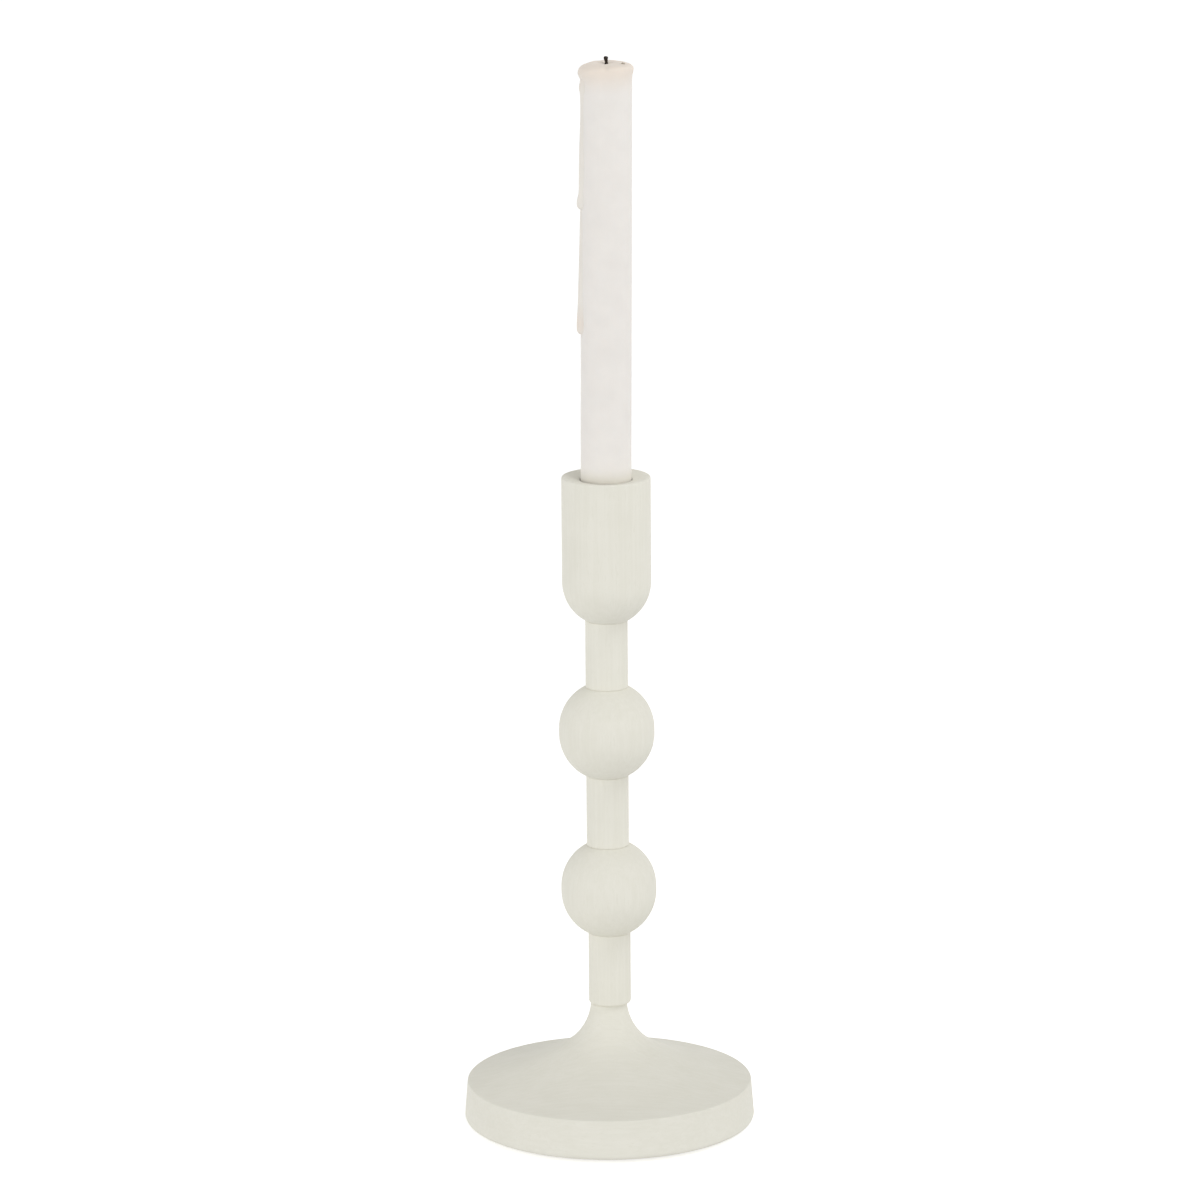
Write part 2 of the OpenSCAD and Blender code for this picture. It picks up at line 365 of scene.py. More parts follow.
def wax_finish(name, wax, painted_shade_wax, foot_high, foot_low):
    """Poured paraffin candle wax.

    To the eye it is milky, because light passes a few millimetres in, with a soft low sheen and faint
    upright drag marks from the mould. It is warmer where it has melted at the top, and between two heights
    near its foot it takes a darker tint that is painted shade.
    """
    colours = bpy.context.scene.candlestick_colours
    top = span("candle")[1]
    material, tree, point = new_finish(name)
    height = add(tree, "ShaderNodeSeparateXYZ", [("Vector", point)]).outputs["Z"]
    # the flame has warmed the top 14 mm
    warmth = add(tree, "ShaderNodeMapRange", [
        ("Value", height), ("From Min", top - 14 * MM), ("From Max", top - 1 * MM),
    ], interpolation_type="SMOOTHSTEP").outputs["Result"]
    # drag marks 1.6 mm wide and 80 mm long
    drag_point = add(tree, "ShaderNodeMapping", [
        ("Vector", point), ("Scale", (1, 1, 0.02)),
    ]).outputs["Vector"]
    drag = add(tree, "ShaderNodeTexNoise", [
        ("Vector", drag_point), ("Scale", 1 / (1.6 * MM)), ("Detail", 2.0),
    ]).outputs["Fac"]
    # clouds in the wax, 9 mm across
    milky = add(tree, "ShaderNodeTexNoise", [
        ("Vector", point), ("Scale", 1 / (9 * MM)), ("Detail", 3.0),
    ]).outputs["Fac"]
    colour = add(tree, "ShaderNodeMix", [
        ("Factor", warmth), ("A", linear(wax)), ("B", linear(colours.warm_wax)),
    ], data_type="RGBA").outputs["Result"]
    foot = add(tree, "ShaderNodeMapRange", [
        ("Value", height), ("From Min", foot_high), ("From Max", foot_low),
    ]).outputs["Result"]
    # the painted shade near the foot comes in quickly, is full about halfway down and fades below that
    painted_shade_share = add(
        tree, "ShaderNodeValToRGB", [("Fac", foot)], stops=[(0.0, 0.0), (0.3, 0.5), (0.55, 1.0), (1.0, 0.3)],
    ).outputs["Color"]
    colour = add(tree, "ShaderNodeMix", [
        ("Factor", painted_shade_share), ("A", colour), ("B", linear(painted_shade_wax)),
    ], data_type="RGBA").outputs["Result"]
    value = add(
        tree, "ShaderNodeValToRGB", [("Fac", milky)], stops=[(0.3, 0.965), (0.7, 1.0)],
    ).outputs["Color"]
    clouded = add(tree, "ShaderNodeHueSaturation", [("Color", colour), ("Value", value)]).outputs["Color"]
    rough = add(
        tree, "ShaderNodeValToRGB", [("Fac", milky)], stops=[(0.3, 0.48), (0.7, 0.58)],
    ).outputs["Color"]
    bumps = add(tree, "ShaderNodeBump", [
        ("Height", drag), ("Strength", 0.25), ("Distance", 0.08 * MM),
    ]).outputs["Normal"]
    shader = add(tree, "ShaderNodeBsdfPrincipled", [
        ("Base Color", clouded), ("Roughness", rough), ("IOR", 1.43), ("Specular IOR Level", 0.18),
        ("Subsurface Weight", 0.15), ("Subsurface Radius", (1.0, 0.92, 0.85)),
        ("Subsurface Scale", 1.5 * MM), ("Normal", bumps),
    ])
    add(tree, "ShaderNodeOutputMaterial", [("Surface", shader.outputs["BSDF"])])
    return material


def wick_finish(name, char, soot):
    """Braided cotton, pale where it is still in the wax and burnt to a dull sooty black above it."""
    colours = bpy.context.scene.candlestick_colours
    top = span("candle")[1]
    material, tree, point = new_finish(name)
    height = add(tree, "ShaderNodeSeparateXYZ", [("Vector", point)]).outputs["Z"]
    burnt = add(tree, "ShaderNodeMapRange", [
        ("Value", height), ("From Min", top - 3.4 * MM), ("From Max", top - 2.0 * MM),
    ]).outputs["Result"]
    # yarns 0.5 mm wide
    fibre = add(tree, "ShaderNodeTexNoise", [
        ("Vector", point), ("Scale", 1 / (0.5 * MM)), ("Detail", 3.0),
    ]).outputs["Fac"]
    sooty = add(tree, "ShaderNodeMix", [
        ("Factor", fibre), ("A", linear(char)), ("B", linear(soot)),
    ], data_type="RGBA").outputs["Result"]
    colour = add(tree, "ShaderNodeMix", [
        ("Factor", burnt), ("A", linear(colours.cotton)), ("B", sooty),
    ], data_type="RGBA").outputs["Result"]
    bumps = add(tree, "ShaderNodeBump", [
        ("Height", fibre), ("Strength", 0.6), ("Distance", 0.15 * MM),
    ]).outputs["Normal"]
    shader = add(tree, "ShaderNodeBsdfPrincipled", [
        ("Base Color", colour), ("Roughness", 0.95), ("Specular IOR Level", 0.2), ("Normal", bumps),
    ])
    add(tree, "ShaderNodeOutputMaterial", [("Surface", shader.outputs["BSDF"])])
    return material


def felt_finish(name):
    """Pressed wool felt: no shine at all, a fine matted nap and slightly uneven dye."""
    colours = bpy.context.scene.candlestick_colours
    material, tree, point = new_finish(name)
    # fibres 0.4 mm wide, drawn coarser than real wool so that they show
    nap = add(tree, "ShaderNodeTexNoise", [
        ("Vector", point), ("Scale", 1 / (0.4 * MM)), ("Detail", 4.0), ("Roughness", 0.7),
        ("Distortion", 1.2),
    ]).outputs["Fac"]
    # patches of dye, 12 mm across
    dye = add(tree, "ShaderNodeTexNoise", [
        ("Vector", point), ("Scale", 1 / (12 * MM)), ("Detail", 3.0),
    ]).outputs["Fac"]
    shade = add(tree, "ShaderNodeMath", [(0, nap), (1, 0.6), (2, dye)], operation="MULTIPLY_ADD").outputs[0]
    value = add(
        tree, "ShaderNodeValToRGB", [("Fac", shade)], stops=[(0.45, 0.75), (1.0, 1.15)],
    ).outputs["Color"]
    colour = add(tree, "ShaderNodeHueSaturation", [
        ("Color", linear(colours.felt)), ("Value", value),
    ]).outputs["Color"]
    bumps = add(tree, "ShaderNodeBump", [
        ("Height", nap), ("Strength", 0.8), ("Distance", 0.3 * MM),
    ]).outputs["Normal"]
    shader = add(tree, "ShaderNodeBsdfPrincipled", [
        ("Base Color", colour), ("Roughness", 1.0), ("Specular IOR Level", 0.1), ("Sheen Weight", 0.3),
        ("Sheen Roughness", 0.6), ("Normal", bumps),
    ])
    add(tree, "ShaderNodeOutputMaterial", [("Surface", shader.outputs["BSDF"])])
    return material


def metal_finish(name, hex_colour, rough_low, rough_high, scratch, bare=1.0):
    """Plated steel, sheet or bar: grey and half bright, with fine handling scratches and slightly cloudy
    plating. Scratch is a scratch's length, and bare the share that no film of wax and soot dulls."""
    material, tree, point = new_finish(name)
    # clouds in the plating, 4 mm across
    cloud = add(tree, "ShaderNodeTexNoise", [
        ("Vector", point), ("Scale", 1 / (4 * MM)), ("Detail", 5.0),
    ]).outputs["Fac"]
    # the scratches lie level, twelve times as long as they are high
    scratch_point = add(tree, "ShaderNodeMapping", [
        ("Vector", point), ("Scale", (1, 1, 12)),
    ]).outputs["Vector"]
    scratches = add(tree, "ShaderNodeTexNoise", [
        ("Vector", scratch_point), ("Scale", 1 / scratch), ("Detail", 3.0),
    ]).outputs["Fac"]
    value = add(
        tree, "ShaderNodeValToRGB", [("Fac", cloud)], stops=[(0.3, 0.85), (0.7, 1.0)],
    ).outputs["Color"]
    colour = add(tree, "ShaderNodeHueSaturation", [
        ("Color", linear(hex_colour)), ("Value", value),
    ]).outputs["Color"]
    rough = add(
        tree, "ShaderNodeValToRGB", [("Fac", cloud)], stops=[(0.3, rough_low), (0.7, rough_high)],
    ).outputs["Color"]
    bumps = add(tree, "ShaderNodeBump", [
        ("Height", scratches), ("Strength", 0.15), ("Distance", 0.03 * MM),
    ]).outputs["Normal"]
    shader = add(tree, "ShaderNodeBsdfPrincipled", [
        ("Base Color", colour), ("Metallic", bare), ("Roughness", rough), ("Normal", bumps),
    ])
    add(tree, "ShaderNodeOutputMaterial", [("Surface", shader.outputs["BSDF"])])
    return material


# --- Pieces ---------------------------------------------------------------------------------


def finish_wood(bm, node, along, seed):
    """Paints a turned piece, which stands for the wooden node of that name; its grain lies along an axis."""
    paint = paint_finish("milk_paint_on_" + node, along, seed)
    finish_piece(bm, "turned_" + node, HOLDER, paint, [node])


class TurnBase(bpy.types.Operator):
    """Turn the round base with its swept neck, and bore it for the rod and the nut's pocket"""

    bl_idname = "candlestick.turn_base"
    bl_label = "Base"

    def execute(self, context):
        wood = context.scene.candlestick_wood
        low, high = span("base")
        foot_r = radius("base")
        pocket_r = radius("bottom_washer") + POCKET_GAP
        pocket_top = span("bottom_washer")[1]
        pocket_bevel = 0.4 * MM
        rim_r = foot_r - wood.edge_taper
        rim_z = low + wood.edge_height
        neck_edge_z = high - wood.neck_round
        # the neck's sweep bends out to the join, and a wide sweep of the same lean there runs on to the rim
        sweep = Vector((
            wood.neck + wood.flare * math.cos(wood.flare_start),
            high + wood.flare * math.sin(wood.flare_start),
        ))
        join_way = Vector((math.cos(wood.flare_end), math.sin(wood.flare_end)))
        join = sweep - wood.flare * join_way
        to_rim = Vector((rim_r - wood.rim_round, rim_z)) - join
        wide = join + to_rim.length_squared / (2 * to_rim.dot(join_way)) * join_way
        # how far round its sweep each end lies
        rim_turn = math.atan2(rim_z - wide.y, rim_r - wood.rim_round - wide.x)
        join_turn = wood.flare_end - math.pi
        neck_turn = math.asin((neck_edge_z - sweep.y) / -wood.flare) - math.pi
        bm = bmesh.new()
        first = start_outline(bm, wood.bore, pocket_top)
        point = line_to(bm, first, pocket_r, pocket_top)
        point = line_to(bm, point, pocket_r, low + pocket_bevel)
        point = line_to(bm, point, pocket_r + pocket_bevel, low)
        point = steps_to(bm, point, foot_r - wood.foot_round, low, steps=6)
        point = arc_about(
            bm, point, foot_r - wood.foot_round, low + wood.foot_round, math.pi / 2, steps=10,
        )
        point = steps_to(bm, point, rim_r, rim_z - wood.rim_round, steps=10)
        point = arc_about(bm, point, rim_r - wood.rim_round, rim_z - wood.rim_round, math.pi / 2, steps=8)
        point = line_to(bm, point, rim_r - wood.rim_round, rim_z)
        point = arc_about(bm, point, wide.x, wide.y, join_turn - rim_turn, steps=40)
        point = arc_about(bm, point, sweep.x, sweep.y, neck_turn - join_turn, steps=30)
        point = line_to(bm, point, wood.neck, neck_edge_z)
        point = arc_about(bm, point, wood.neck - wood.neck_round, neck_edge_z, math.pi / 2, steps=6)
        last = line_to(bm, point, wood.bore, high)
        turn(bm, first, last, wood.sides)
        finish_wood(bm, "base", along="X", seed=1)
        return {"FINISHED"}


class TurnSpindles(bpy.types.Operator):
    """Turn the three plain spindles of the stem"""

    bl_idname = "candlestick.turn_spindles"
    bl_label = "Spindles"

    # each spindle, and the share of the slack that it sits to the right by
    SPINDLES = (("lower_spindle", 1.0), ("middle_spindle", -0.1), ("upper_spindle", -0.2))

    def execute(self, context):
        wood = context.scene.candlestick_wood
        for seed, (node, off) in enumerate(self.SPINDLES, start=3):
            low, high = span(node)
            r = radius(node)
            low_round = wood.joint_round if node == "lower_spindle" else wood.end_round
            bm = bmesh.new()
            first = start_outline(bm, wood.bore, low)
            point = line_to(bm, first, r - low_round, low)
            point = arc_about(bm, point, r - low_round, low + low_round, math.pi / 2, steps=8)
            point = steps_to(bm, point, r, high - wood.end_round, steps=10)
            point = arc_about(bm, point, r - wood.end_round, high - wood.end_round, math.pi / 2, steps=4)
            last = line_to(bm, point, wood.bore, high)
            turn(bm, first, last, wood.sides)
            shift(bm, off * wood.slack)
            finish_wood(bm, node, along="Z", seed=seed)
        return {"FINISHED"}


class TurnBeads(bpy.types.Operator):
    """Turn the two ball-shaped beads, cut flat where the spindles meet them"""

    bl_idname = "candlestick.turn_beads"
    bl_label = "Beads"

    # each bead, and the share of the slack that it sits to the right by
    BEADS = (("lower_bead", 0.65), ("upper_bead", -0.5))

    def execute(self, context):
        wood = context.scene.candlestick_wood
        for seed, (node, off) in enumerate(self.BEADS, start=7):
            low, high = span(node)
            r = radius(node)
            flat_r = radius("middle_spindle")
            flat_turn = math.acos(flat_r / r)
            low_centre = (low + high - wood.band) / 2
            high_centre = (low + high + wood.band) / 2
            bm = bmesh.new()
            first = start_outline(bm, wood.bore, low)
            point = line_to(bm, first, flat_r, low)
            point = arc_about(bm, point, 0, low_centre, flat_turn, steps=28)
            point = line_to(bm, point, r, high_centre)
            point = arc_about(bm, point, 0, high_centre, flat_turn, steps=28)
            last = line_to(bm, point, wood.bore, high)
            turn(bm, first, last, wood.sides)
            shift(bm, off * wood.slack)
            finish_wood(bm, node, along="Z", seed=seed)
        return {"FINISHED"}


class TurnCup(bpy.types.Operator):
    """Turn the round-bottomed candle cup with its dished top, socket and nut pocket"""

    bl_idname = "candlestick.turn_cup"
    bl_label = "Candle cup"

    def execute(self, context):
        wood = context.scene.candlestick_wood
        low, high = span("candle_cup")
        r = radius("candle_cup")
        stem_r = radius("upper_spindle")
        foot_turn = math.acos(stem_r / r)
        bowl_z = low + math.sqrt(r * r - stem_r * stem_r)
        dish_z = high - wood.dish
        socket_r = radius("candle_liner") + LINER_GAP
        socket_low = span("candle_liner")[0]
        socket_bevel = 0.15 * MM
        pocket_r = radius("top_washer") + POCKET_GAP
        pocket_low = span("top_washer")[0]
        bm = bmesh.new()
        first = start_outline(bm, wood.bore, low)
        point = line_to(bm, first, stem_r, low)
        point = arc_about(bm, point, 0, bowl_z, foot_turn, steps=28)
        point = steps_to(bm, point, r, high - wood.rim_round, steps=24)
        point = arc_about(bm, point, r - wood.rim_round, high - wood.rim_round, math.pi / 2, steps=8)
        point = line_to(bm, point, r - wood.lip, high)
        point = steps_to(bm, point, socket_r + socket_bevel, dish_z, steps=4)
        point = line_to(bm, point, socket_r, dish_z - socket_bevel)
        point = line_to(bm, point, socket_r, socket_low)
        point = line_to(bm, point, pocket_r, socket_low)
        point = line_to(bm, point, pocket_r, pocket_low)
        last = line_to(bm, point, wood.bore, pocket_low)
        turn(bm, first, last, wood.sides)
        shift(bm, context.scene.candlestick_candle.aside)
        finish_wood(bm, "candle_cup", along="Z", seed=11)
        return {"FINISHED"}


class DrawLiner(bpy.types.Operator):
    """Draw the thin metal liner that the candle stands in, with its edge rolled in"""

    bl_idname = "candlestick.draw_liner"
    bl_label = "Candle liner"

    def execute(self, context):
        low, high = span("candle_liner")
        r = radius("candle_liner")
        corner = 1.0 * MM
        # a small vent in its floor lets the air out as the candle goes in
        vent = 0.4 * MM
        edge_z = high - LINER_WALL / 2
        bm = bmesh.new()
        first = start_outline(bm, vent, low)
        point = line_to(bm, first, r - corner, low)
        point = arc_about(bm, point, r - corner, low + corner, math.pi / 2, steps=6)
        point = line_to(bm, point, r, edge_z)
        point = arc_about(bm, point, r - LINER_WALL / 2, edge_z, math.pi, steps=8)
        point = line_to(bm, point, r - LINER_WALL, low + corner)
        point = arc_about(bm, point, r - corner, low + corner, -math.pi / 2, steps=6)
        last = line_to(bm, point, vent, low + LINER_WALL)
        turn(bm, first, last, sides=96)
        shift(bm, context.scene.candlestick_candle.aside)
        tin = metal_finish(
            "drawn_tinplate", context.scene.candlestick_colours.tin, 0.45, 0.6, 0.8 * MM, bare=0.5,
        )
        finish_piece(bm, "drawn_candle_liner", HOLDER, tin, ["candle_liner"])
        return {"FINISHED"}


class PlateHardware(bpy.types.Operator):
    """Give the rod, nuts and washers their bright zinc plate"""

    bl_idname = "candlestick.plate_hardware"
    bl_label = "Rod, nuts and washers"

    def execute(self, context):
        zinc = metal_finish(
            "bright_zinc_plate", context.scene.candlestick_colours.zinc, 0.25, 0.4, 0.5 * MM,
        )
        for name in ("tie_rod", "top_nut", "top_washer", "bottom_nut", "bottom_washer"):
            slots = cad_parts[name].data.materials
            slots.clear()
            slots.append(zinc)
        return {"FINISHED"}


class CutFelt(bpy.types.Operator):
    """Cut the felt disc that covers the nut's pocket and saves the table"""

    bl_idname = "candlestick.cut_felt"
    bl_label = "Felt disc"

    def execute(self, context):
        low, high = span("felt_disc")
        r = radius("felt_disc")
        edge = 0.4 * MM
        # the cutter's centre pin leaves a pinhole, and its blade pulls tufts a millimetre apart
        pinhole = 0.5 * MM
        tuft = 0.25 * MM
        bm = bmesh.new()
        first = start_outline(bm, pinhole, low)
        point = steps_to(bm, first, r - edge, low, steps=24)
        point = arc_about(bm, point, r - edge, low + edge, math.pi / 2, steps=4)
        point = line_to(bm, point, r, high)
        last = steps_to(bm, point, pinhole, high, steps=12)
        turn(bm, first, last, sides=180)
        for vert in bm.verts:
            if vert.co.xy.length > 0.97 * r:
                vert.co.xy += vert.co.xy.normalized() * tuft * (noise.noise(vert.co * 900) - 1)
        finish_piece(bm, "cut_felt_disc", HOLDER, felt_finish("pressed_wool_felt"), ["felt_disc"])
        return {"FINISHED"}


def lean(bm, candle):
    """Tips a part of the candle by its lean, about a point high in the socket, and moves it with the cup."""
    low, high = span("candle_liner")
    pivot = Vector((0, 0, low + 0.7 * (high - low)))
    bmesh.ops.rotate(bm, verts=bm.verts[:], cent=pivot, matrix=Matrix.Rotation(candle.lean, 3, "Y"))
    shift(bm, candle.aside)


class PourCandle(bpy.types.Operator):
    """Pour the dinner candle, then soften its lip and melt its top to a low crown round the wick"""

    bl_idname = "candlestick.pour_candle"
    bl_label = "Candle"

    # how far down from the rim the flame has softened the wax
    SOFT = 12 * MM

    def execute(self, context):
        candle = context.scene.candlestick_candle
        low = span("candle")[0]
        rim = span("candle")[1] - candle.crown
        r = candle_radius()
        foot_bevel = 0.6 * MM
        shoulder = 1.3 * MM
        bm = bmesh.new()
        first = start_outline(bm, candle.wick, low)
        point = line_to(bm, first, r - foot_bevel, low)
        point = line_to(bm, point, r, low + foot_bevel)
        point = steps_to(bm, point, r, rim - 10 * MM, steps=90)
        point = steps_to(bm, point, r, rim - shoulder, steps=16)
        point = arc_about(bm, point, r - shoulder, rim - shoulder, math.pi / 2, steps=8)
        last = steps_to(bm, point, candle.wick, rim, steps=14)
        turn(bm, first, last, sides=144)
        for vert in bm.verts:
            out = math.hypot(vert.co.x, vert.co.y)
            away = Vector((vert.co.x, vert.co.y, 0)) / out
            below = rim - vert.co.z
            if below < self.SOFT:
                vert.co += away * self.swell(candle, away, below) * (out / r) ** 4
                vert.co.z += self.melt(candle, vert.co, away, out, r) * max(0.0, 1 - below / self.SOFT)
            # a poured candle is never quite straight or round
            vert.co += away * 0.05 * MM * noise.noise(Vector((away.x * 2, away.y * 2, vert.co.z * 40)))
        lean(bm, candle)
        colours = context.scene.candlestick_colours
        cup_top = span("candle_cup")[1]
        # painted shade on the candle's foot down in the cup, darkest at the dish
        wax = wax_finish("paraffin_wax", colours.wax, colours.cup_shade_wax, cup_top + 5 * MM, cup_top - 6 * MM)
        finish_piece(bm, "poured_candle", CANDLE, wax, ["candle"])
        return {"FINISHED"}

    def swell(self, candle, away, below):
        """How far the lip stands out: most a little below the rim and on the left, and least in front."""
        left = max(0.0, -away.x)
        around = 0.05 + (1.15 if away.x < 0 else 0.38) * away.x ** 2
        uneven = 1 + 0.4 * noise.noise(away * 1.7 + Vector((0, 0, 4)))
        middle = (2.0 + 0.9 * left) * MM
        width = (2.0 + 0.5 * left) * MM
        return math.exp(-((below - middle) / width) ** 2) * candle.lip * uneven * around

    def melt(self, candle, place, away, out, r):
        """How far the melted top stands above the rim: the low crown, less the hollows and the sag."""
        share = min(out / r, 1)
        dome = candle.crown * (1 - share ** 4)
        # the flame's dimple round the wick, and the channel that the wax ran out by in front
        hollow = candle.dimple * math.exp(-((out - candle.wick) / (1.6 * MM)) ** 2)
        if place.y < 0:
            across = (place.x - candle.wick_aside) / (1.3 * MM)
            hollow += 0.9 * candle.dimple * math.exp(-across ** 2) * share
        # the side that ran has sunk, and the back least
        sag = candle.sag * (0.5 - 0.5 * away.x) * (1 - 0.8 * max(0.0, away.y)) * share ** 2
        # ripples 3 mm across
        ripple = 0.3 * MM * noise.noise(place * 300)
        return dome - hollow - sag + ripple


class RunWax(bpy.types.Operator):
    """Run two long drops of wax down the candle's side and let them set"""

    bl_idname = "candlestick.run_wax"
    bl_label = "Wax runs"

    # each run, ring by ring: depth below the rim, thickness and width in mm, and its turn round the candle
    # in degrees
    RUNS = (
        (
            (1.8, 0.1, 6.0, 198), (3.2, 0.6, 8.0, 198), (5.6, 0.2, 6.6, 196), (8.6, 1.15, 7.4, 195),
            (10.6, 1.2, 7.6, 195), (12.0, 0.5, 6.6, 194), (19.0, 0.3, 6.0, 194), (28.0, 0.6, 6.6, 194),
            (35.0, 0.85, 6.2, 192), (41.0, 1.05, 7.4, 194), (48.0, 1.15, 6.8, 193), (53.0, 1.1, 6.0, 193),
            (55.4, 1.2, 5.8, 192), (57.8, 1.9, 6.8, 191), (60.0, 2.15, 7.0, 191), (61.4, 1.6, 5.8, 191),
            (62.2, 0.5, 3.4, 191),
        ),
        (
            (56.0, 0.2, 4.4, 190), (66.0, 0.45, 5.4, 189), (73.0, 0.65, 6.4, 190), (80.0, 0.8, 5.8, 188),
            (88.0, 1.0, 7.0, 189), (97.0, 1.2, 6.4, 187), (104.0, 1.4, 7.4, 188), (109.5, 1.85, 8.6, 188),
            (113.5, 2.0, 8.8, 188), (115.4, 1.75, 7.4, 188), (116.4, 0.6, 4.4, 188),
        ),
    )
    # points in a ring, how sharply its swell feathers out, and how deep its edge and its back lie in the wax
    RING = 22
    FEATHER = 3.2
    EDGE = 0.08 * MM
    BACK = 0.5 * MM

    def execute(self, context):
        candle = context.scene.candlestick_candle
        colours = context.scene.candlestick_colours
        rim = span("candle")[1] - candle.crown
        side = candle_radius()
        bm = bmesh.new()
        for run in self.RUNS:
            ring = bmesh.ops.create_circle(bm, segments=self.RING, radius=1)["verts"]
            edges = [e for e in bm.edges if e.verts[0] in ring and e.verts[1] in ring]
            for number, (depth, thick, width, bearing) in enumerate(run):
                if number:
                    made = bmesh.ops.extrude_edge_only(bm, edges=edges)["geom"]
                    ring = [g for g in made if isinstance(g, bmesh.types.BMVert)]
                    edges = [g for g in made if isinstance(g, bmesh.types.BMEdge)]
                    edges = [e for e in edges if e.verts[0] in ring and e.verts[1] in ring]
                self.lay(ring, rim - depth * MM, thick * MM, width * MM, math.radians(bearing), side)
            bmesh.ops.holes_fill(bm, edges=[e for e in bm.edges if e.is_boundary])
        lean(bm, candle)
        # the runs' wax is painted a little darker than the candle's, and the end of the long run browner,
        # both as painted shade
        wax = wax_finish("set_wax", colours.run_wax, colours.run_end_shade_wax, rim - 103 * MM, rim - 118 * MM)
        piece = finish_piece(bm, "set_wax_runs", CANDLE, wax, ["wax_runs"], crisp=math.pi)
        smooth = piece.modifiers.new("soft", "SUBSURF")
        smooth.levels = smooth.render_levels = 2
        return {"FINISHED"}

    def lay(self, ring, z, thick, width, bearing, side):
        """Lays a ring of the run across the candle's side, bent to its curve."""
        for number, vert in enumerate(ring):
            phase = math.tau * number / len(ring)
            # outside, a swell that feathers out into the candle's side; inside, a shallow back
            rise = math.cos(phase)
            if rise > 0:
                r = side - self.EDGE + (thick + self.EDGE) * rise ** self.FEATHER
            else:
                r = side - self.EDGE + self.BACK * rise
            turn_by = bearing + width / 2 * math.sin(phase) / side
            vert.co = (r * math.cos(turn_by), r * math.sin(turn_by), z)


class BraidWick(bpy.types.Operator):
    """Braid the wick through the candle, with its burnt end standing out of the wax"""

    bl_idname = "candlestick.braid_wick"
    bl_label = "Wick"

    def execute(self, context):
        candle = context.scene.candlestick_candle
        colours = context.scene.candlestick_colours
        low = span("candle")[0]
        wax_top = span("candle")[1]
        top = span("wick")[1]
        core = 0.15 * MM
        bm = bmesh.new()
        first = start_outline(bm, core, low)
        point = line_to(bm, first, candle.wick, low)
        point = steps_to(bm, point, candle.wick, wax_top - 6 * MM, steps=12)
        point = steps_to(bm, point, candle.wick, top - 1.1 * MM, steps=22)
        # the rounded tip, by its share of the wick's radius and its depth in mm
        for share, down in ((0.93, 0.7), (0.8, 0.35), (0.6, 0.1), (0.3, 0)):
            point = line_to(bm, point, candle.wick * share, top - down * MM)
        last = line_to(bm, point, core, top)
        turn(bm, first, last, sides=20)
        burnt_low = wax_top - 1.4 * MM
        for vert in bm.verts:
            if math.hypot(vert.co.x, vert.co.y) > 0.5 * candle.wick:
                # three plaited yarns, 2.4 mm to a turn
                around = math.atan2(vert.co.y, vert.co.x)
                plait = 1 + 0.13 * math.cos(3 * around + math.tau * vert.co.z / (2.4 * MM))
                frayed = 1 + 0.12 * noise.noise(vert.co * 1400)
                vert.co.xy *= plait * frayed
            # the burnt end thins above the wax, swells a little to its tip and curls aside and forwards
            above = min(max(0.0, (vert.co.z - burnt_low) / (top - burnt_low)), 1)
            vert.co.xy *= 1 - 0.38 * math.sin(math.pi * min(1, above * 1.2)) + 0.1 * above
            vert.co.x += candle.wick_aside * above ** 1.5
            vert.co.y -= 0.5 * MM * above ** 2
        lean(bm, candle)
        cotton = wick_finish("burnt_cotton_wick", colours.char, colours.soot)
        finish_piece(bm, "braided_wick", CANDLE, cotton, ["wick"])
        return {"FINISHED"}


class DropChar(bpy.types.Operator):
    """Drop two crumbs of burnt wick on the melted top"""

    bl_idname = "candlestick.drop_char"
    bl_label = "Char crumbs"

    # each crumb's place to the right of the wick and behind it, height above the rim and radius, in mm
    CRUMBS = ((7.0, -3.2, 0.5, 0.85), (5.4, -3.9, 0.45, 0.35))

    def execute(self, context):
        candle = context.scene.candlestick_candle
        colours = context.scene.candlestick_colours
        rim = span("candle")[1] - candle.crown
        bm = bmesh.new()
        for x, y, up, r in self.CRUMBS:
            made = bmesh.ops.create_icosphere(bm, subdivisions=3, radius=r * MM)["verts"]
            for vert in made:
                # lumpy, and a little flattened where it stuck
                vert.co *= 1 + 0.45 * noise.noise(vert.co * 1800 + Vector((x, y, 0)))
                vert.co.x *= 1.1
                vert.co.z *= 0.85
            bmesh.ops.translate(bm, verts=made, vec=(x * MM, y * MM, rim + up * MM))
        lean(bm, candle)
        ashes = wick_finish("ashy_crumbs", colours.crumb, colours.ash)
        finish_piece(bm, "char_crumbs", CANDLE, ashes)
        return {"FINISHED"}


